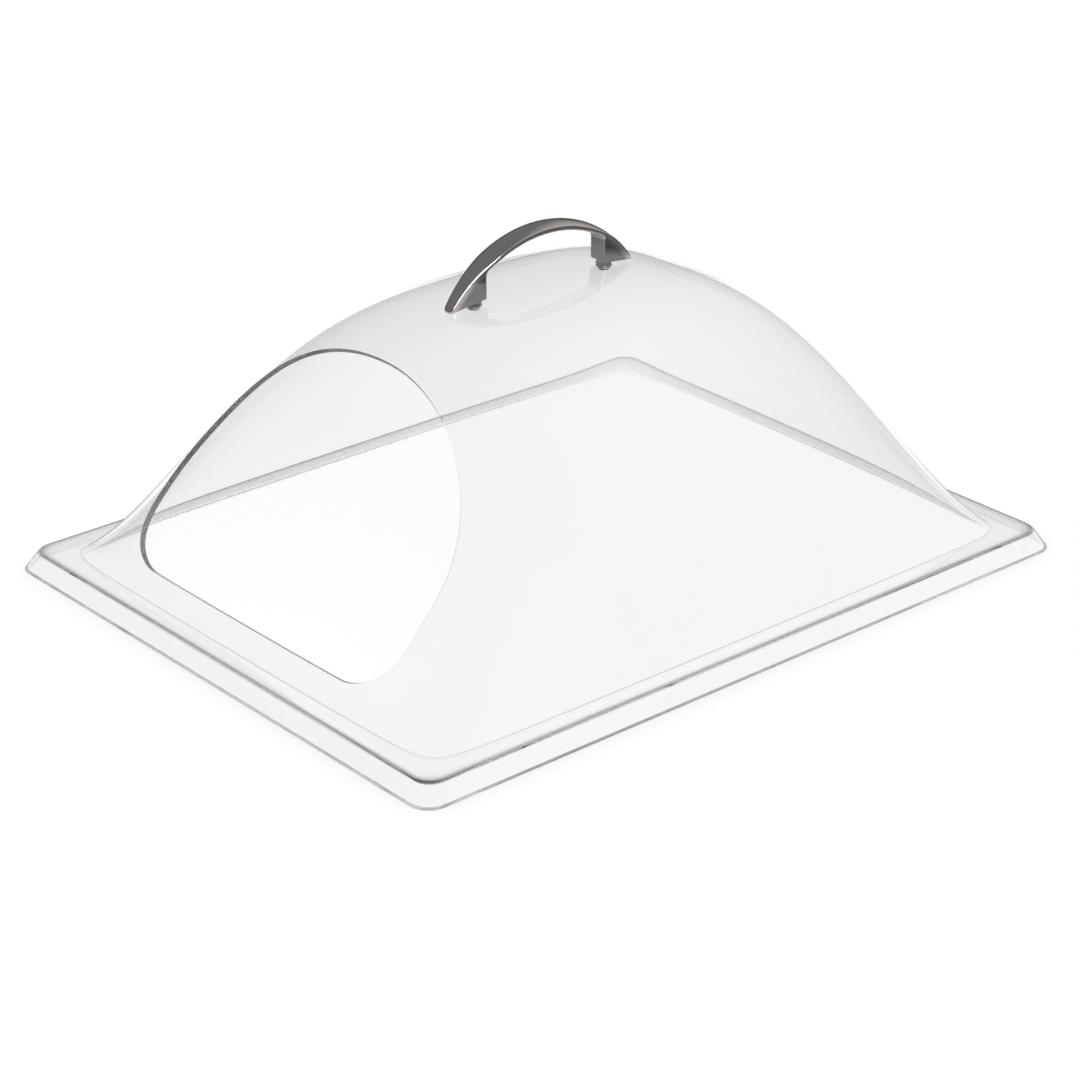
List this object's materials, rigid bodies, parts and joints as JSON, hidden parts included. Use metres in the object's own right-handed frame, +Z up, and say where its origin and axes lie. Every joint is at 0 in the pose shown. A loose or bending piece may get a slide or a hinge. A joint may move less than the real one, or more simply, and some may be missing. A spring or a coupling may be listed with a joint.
{
  "type": "food cover",
  "caption": "Clear domed display cover for a buffet tray, with a flanged foot and flared skirt, an arched serving opening in one end and a chrome bow handle on the crown.",
  "frame": {"origin": "centre of the rim, on the plane of its lower edge, where the cover rests", "axes": "+X along the cover, away from the end with the opening; +Z up from the table to the handle"},
  "size_m": [0.45, 0.356, 0.195],
  "materials": {
    "clear_sheet": "clear polycarbonate sheet, polished",
    "handle_chrome": "dark chrome plate on a zinc casting",
    "gasket_rubber": "soft grey rubber",
    "washer_nylon": "natural nylon",
    "screw_steel": "bright plated steel"
  },
  "bodies": {
    "root": {"dome_cover": "clear_sheet", "bow_handle": "handle_chrome", "front_foot_gasket": "gasket_rubber", "rear_foot_gasket": "gasket_rubber", "front_screw_washer": "washer_nylon", "rear_screw_washer": "washer_nylon", "front_handle_screw": "screw_steel", "rear_handle_screw": "screw_steel"}
  },
  "joints": []
}
